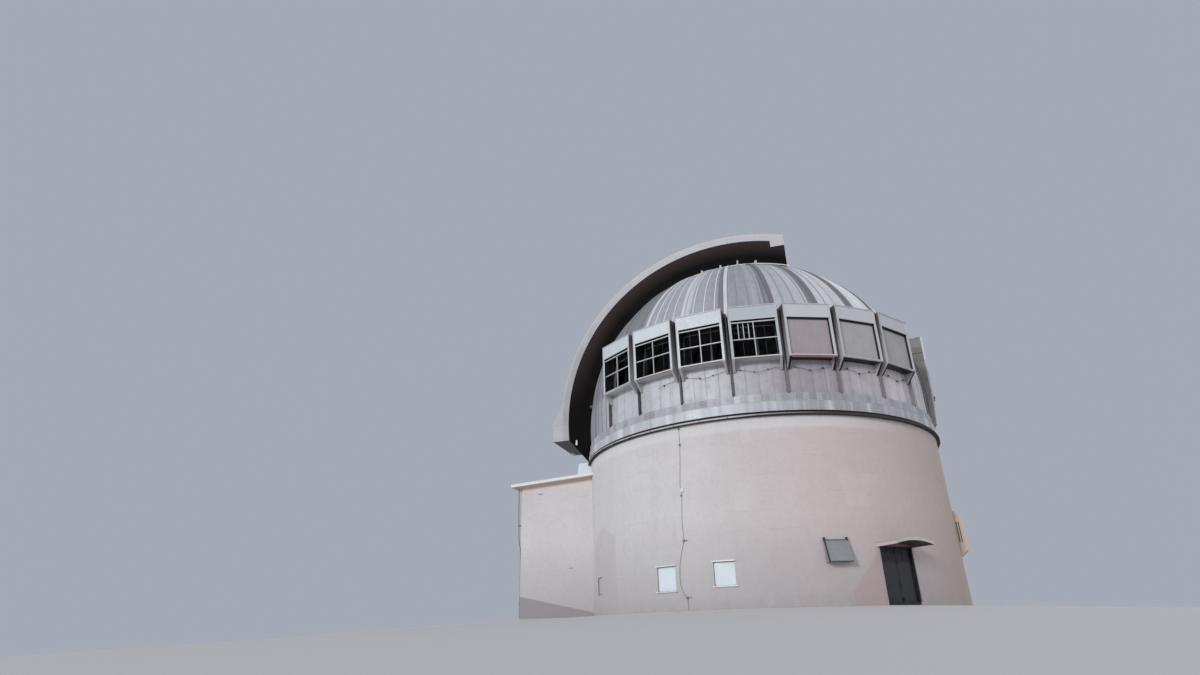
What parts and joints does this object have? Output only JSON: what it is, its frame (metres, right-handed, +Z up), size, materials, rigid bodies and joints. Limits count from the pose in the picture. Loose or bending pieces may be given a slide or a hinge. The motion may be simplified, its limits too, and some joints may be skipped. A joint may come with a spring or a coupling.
{
  "type": "observatory dome",
  "caption": "Round concrete building with a low annex whose roof slopes gently, under a ribbed steel dome that turns, with vent boxes round its belt and a tall arched hood over its slit.",
  "frame": {"origin": "on the dome's turning axis at ground level, under the middle of the round building's floor", "axes": "+Z up along the dome's axis; the slit and the annex lie towards -X at rest, and the side with the entrance and the wall panels faces -Y"},
  "size_m": [36.7058, 31.3428, 34.94],
  "materials": {
    "wall_concrete": "matte",
    "floor_concrete": "matte",
    "annex_concrete": "matte",
    "roof_concrete": "matte",
    "curb_metal": "satin",
    "dome_metal": "satin",
    "vent_metal": "satin",
    "closed_sheet": "matte",
    "hood_metal": "satin",
    "hood_dark": "matte",
    "door_metal": "satin",
    "frame_metal": "matte",
    "white_panel": "matte",
    "grey_sheet": "satin"
  },
  "bodies": {
    "building": {"floor_slab": "floor_concrete", "wall_segment_1": "wall_concrete", "wall_segment_2": "wall_concrete", "wall_segment_3": "wall_concrete", "wall_segment_4": "wall_concrete", "wall_segment_5": "wall_concrete", "wall_left_of_door": "wall_concrete", "wall_right_of_door": "wall_concrete", "wall_over_door": "wall_concrete", "curb_ring": "curb_metal", "door_frame": "frame_metal", "door_canopy": "roof_concrete", "window_shutter_west": "white_panel", "window_shutter_east": "white_panel", "wall_hatch": "white_panel", "louvre_hood": "grey_sheet", "side_bay": "wall_concrete", "wall_conduit": "frame_metal", "annex_front_wall": "annex_concrete", "annex_back_wall": "annex_concrete", "annex_end_wall": "annex_concrete", "annex_roof": "roof_concrete", "roof_box": "white_panel"},
    "dome": {"dome_skirt_ring": "dome_metal", "dome_side_near": "dome_metal", "dome_side_far": "dome_metal", "dome_cap_near_front": "dome_metal", "dome_cap_near_rear": "dome_metal", "dome_cap_far_front": "dome_metal", "dome_cap_far_rear": "dome_metal", "dome_rear_strip": "dome_metal", "slit_sill": "dome_metal", "vent_near_1": "vent_metal", "vent_near_2": "vent_metal", "vent_near_3": "vent_metal", "vent_near_4": "vent_metal", "vent_near_5": "vent_metal", "vent_near_6": "vent_metal", "vent_near_7": "vent_metal", "vent_far_1": "vent_metal", "vent_far_2": "vent_metal", "vent_far_3": "vent_metal", "vent_far_4": "vent_metal", "vent_far_5": "vent_metal", "vent_far_6": "vent_metal", "vent_far_7": "vent_metal", "vent_shutter_near_5": "closed_sheet", "vent_shutter_near_6": "closed_sheet", "vent_shutter_near_7": "closed_sheet", "vent_shutter_far_5": "closed_sheet", "vent_shutter_far_6": "closed_sheet", "vent_shutter_far_7": "closed_sheet", "rear_box": "vent_metal"},
    "hood": {"hood_wall_near": "hood_dark", "hood_wall_far": "hood_dark", "hood_beam_near": "hood_metal", "hood_beam_far": "hood_metal", "hood_skin": "hood_metal"},
    "left_leaf": {"door_leaf_left": "door_metal"},
    "right_leaf": {"door_leaf_right": "door_metal"}
  },
  "joints": [
    {"name": "dome_turn", "type": "hinge", "parent": "building", "child": "dome", "pos_m": [0, 0, 12.89], "axis": [0, 0, 1], "continuous": true},
    {"name": "hood_travel", "type": "hinge", "parent": "dome", "child": "hood", "pos_m": [0, 0, 16.245], "axis": [0, 1, 0], "range_deg": [0, 75]},
    {"name": "left_leaf_swing", "type": "hinge", "parent": "building", "child": "left_leaf", "pos_m": [8.2691, -12.298, 0.2], "axis": [0, 0, -1], "range_deg": [0, 90]},
    {"name": "right_leaf_swing", "type": "hinge", "parent": "building", "child": "right_leaf", "pos_m": [10.1603, -10.7882, 0.2], "axis": [0, 0, 1], "range_deg": [0, 90]}
  ]
}
